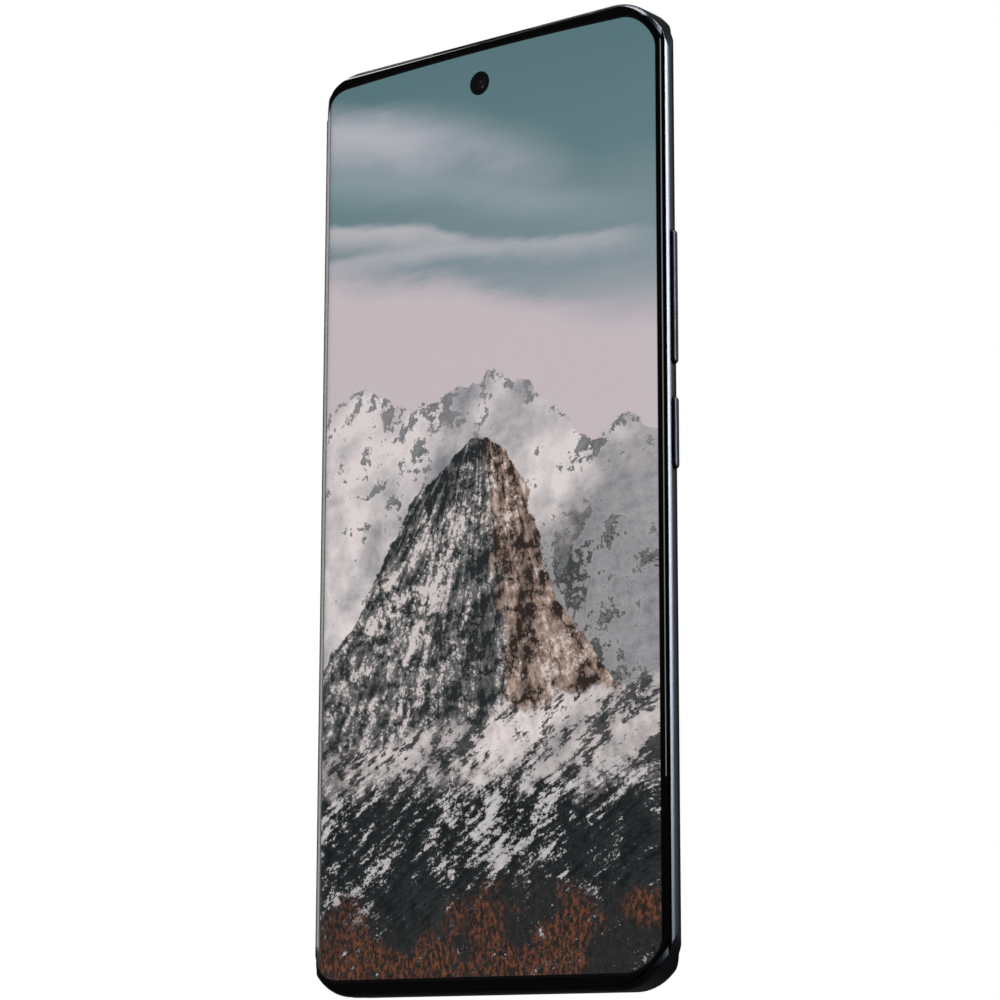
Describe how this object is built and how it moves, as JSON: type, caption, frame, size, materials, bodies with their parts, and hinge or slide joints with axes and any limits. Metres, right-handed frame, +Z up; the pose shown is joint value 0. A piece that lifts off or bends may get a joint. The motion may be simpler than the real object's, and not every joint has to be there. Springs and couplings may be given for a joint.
{
  "type": "smartphone",
  "caption": "Slab smartphone with a curved-side screen, punch-hole camera, metal frame, side keys, card tray and raised rear camera island.",
  "frame": {"origin": "middle of the USB-C mouth on the bottom edge, on the centre plane of the body", "axes": "+Z up the length, +X to the side with the keys, -Y out of the screen, +Y out of the back"},
  "size_m": [0.0754, 0.0098, 0.163],
  "materials": {
    "frame_metal": "anodised dark graphite blue, satin with a polished lip",
    "band_plastic": "moulded, tinted to match the frame",
    "screen_glass": "clear, polished",
    "display": "laminated display stack",
    "adhesive": "black foam tape",
    "back_glass": "frosted, dark graphite blue",
    "island_metal": "fine blasted",
    "ring_metal": "turned and polished",
    "lens_glass": "coated",
    "camera_black": "black, fine grain",
    "flash_lens": "clear moulded",
    "led": "phosphor",
    "mesh_metal": "black woven mesh",
    "steel": "stamped",
    "plated_steel": "nickel plated",
    "board": "solder mask",
    "chip": "moulded package",
    "copper": "bare copper",
    "bracket": "glass-filled moulding",
    "battery_wrap": "pouch cell with black wrap",
    "flex": "polyimide film",
    "ferrite": "ferrite sheet",
    "card": "blank card",
    "tungsten": "ground"
  },
  "bodies": {
    "phone": {"mid_frame": "frame_metal", "antenna_bands": "band_plastic", "cover_glass": "screen_glass", "display_panel": "display", "display_adhesive": "adhesive", "fingerprint_sensor": "chip", "front_camera": "camera_black", "front_camera_lens": "lens_glass", "earpiece_mesh": "mesh_metal", "earpiece_receiver": "steel", "rear_cover": "back_glass", "rear_adhesive": "adhesive", "camera_island": "island_metal", "lens_rings": "ring_metal", "camera_windows": "lens_glass", "main_camera_body": "camera_black", "wide_camera": "camera_black", "macro_camera": "camera_black", "flash_window": "flash_lens", "flash_led": "led", "key_flex": "flex", "sim_reader": "steel", "main_board": "board", "shield_cans": "steel", "board_chips": "chip", "heat_spreader": "copper", "upper_bracket": "bracket", "lower_bracket": "bracket", "screws": "steel", "battery": "battery_wrap", "battery_flex": "flex", "main_flex": "flex", "ferrite_sheet": "ferrite", "wireless_coil": "copper", "usb_shell": "plated_steel", "usb_tongue": "camera_black", "sub_board": "board", "speaker_box": "camera_black", "speaker_mesh": "mesh_metal", "microphones": "steel", "vibration_motor": "steel"},
    "power_button": {"power_button": "frame_metal"},
    "volume_rocker": {"volume_rocker": "frame_metal"},
    "tray": {"sim_tray": "frame_metal", "sim_card": "card"},
    "eject_rod": {"eject_rod": "steel"},
    "eject_lever": {"eject_lever": "steel"},
    "lens_carriage": {"main_lens_barrel": "camera_black", "main_lens_glass": "lens_glass"},
    "haptic_mass": {"vibration_mass": "tungsten"}
  },
  "joints": [
    {"name": "power_press", "type": "slide", "parent": "phone", "child": "power_button", "axis": [-1, 0, 0], "range_m": [0, 0.00025], "stiffness_N_per_m": 600, "springref_m": -0.0015},
    {"name": "volume_rock", "type": "hinge", "parent": "phone", "child": "volume_rocker", "pos_m": [0.0355, 0.00028, 0.1117], "axis": [0, 1, 0], "range_deg": [-0.7, 0.7], "stiffness_Nm_per_rad": 0.3},
    {"name": "tray_slide", "type": "slide", "parent": "phone", "child": "tray", "axis": [0, 0, -1], "range_m": [0, 0.016]},
    {"name": "eject_push", "type": "slide", "parent": "phone", "child": "eject_rod", "axis": [0, 0, 1], "range_m": [0, 0.0015]},
    {"name": "eject_turn", "type": "hinge", "parent": "phone", "child": "eject_lever", "pos_m": [-0.0255, 0, 0.0226], "axis": [0, 1, 0], "range_deg": [0, 16]},
    {"name": "focus_slide", "type": "slide", "parent": "phone", "child": "lens_carriage", "axis": [0, 1, 0], "range_m": [0, 0.00035], "stiffness_N_per_m": 60, "springref_m": -0.0002},
    {"name": "haptic_slide", "type": "slide", "parent": "phone", "child": "haptic_mass", "axis": [1, 0, 0], "range_m": [-0.0004, 0.0004], "stiffness_N_per_m": 1000}
  ],
  "couplings": [
    {"joint": "eject_turn", "follows": "eject_push", "rad_per_m": 181.8}
  ]
}
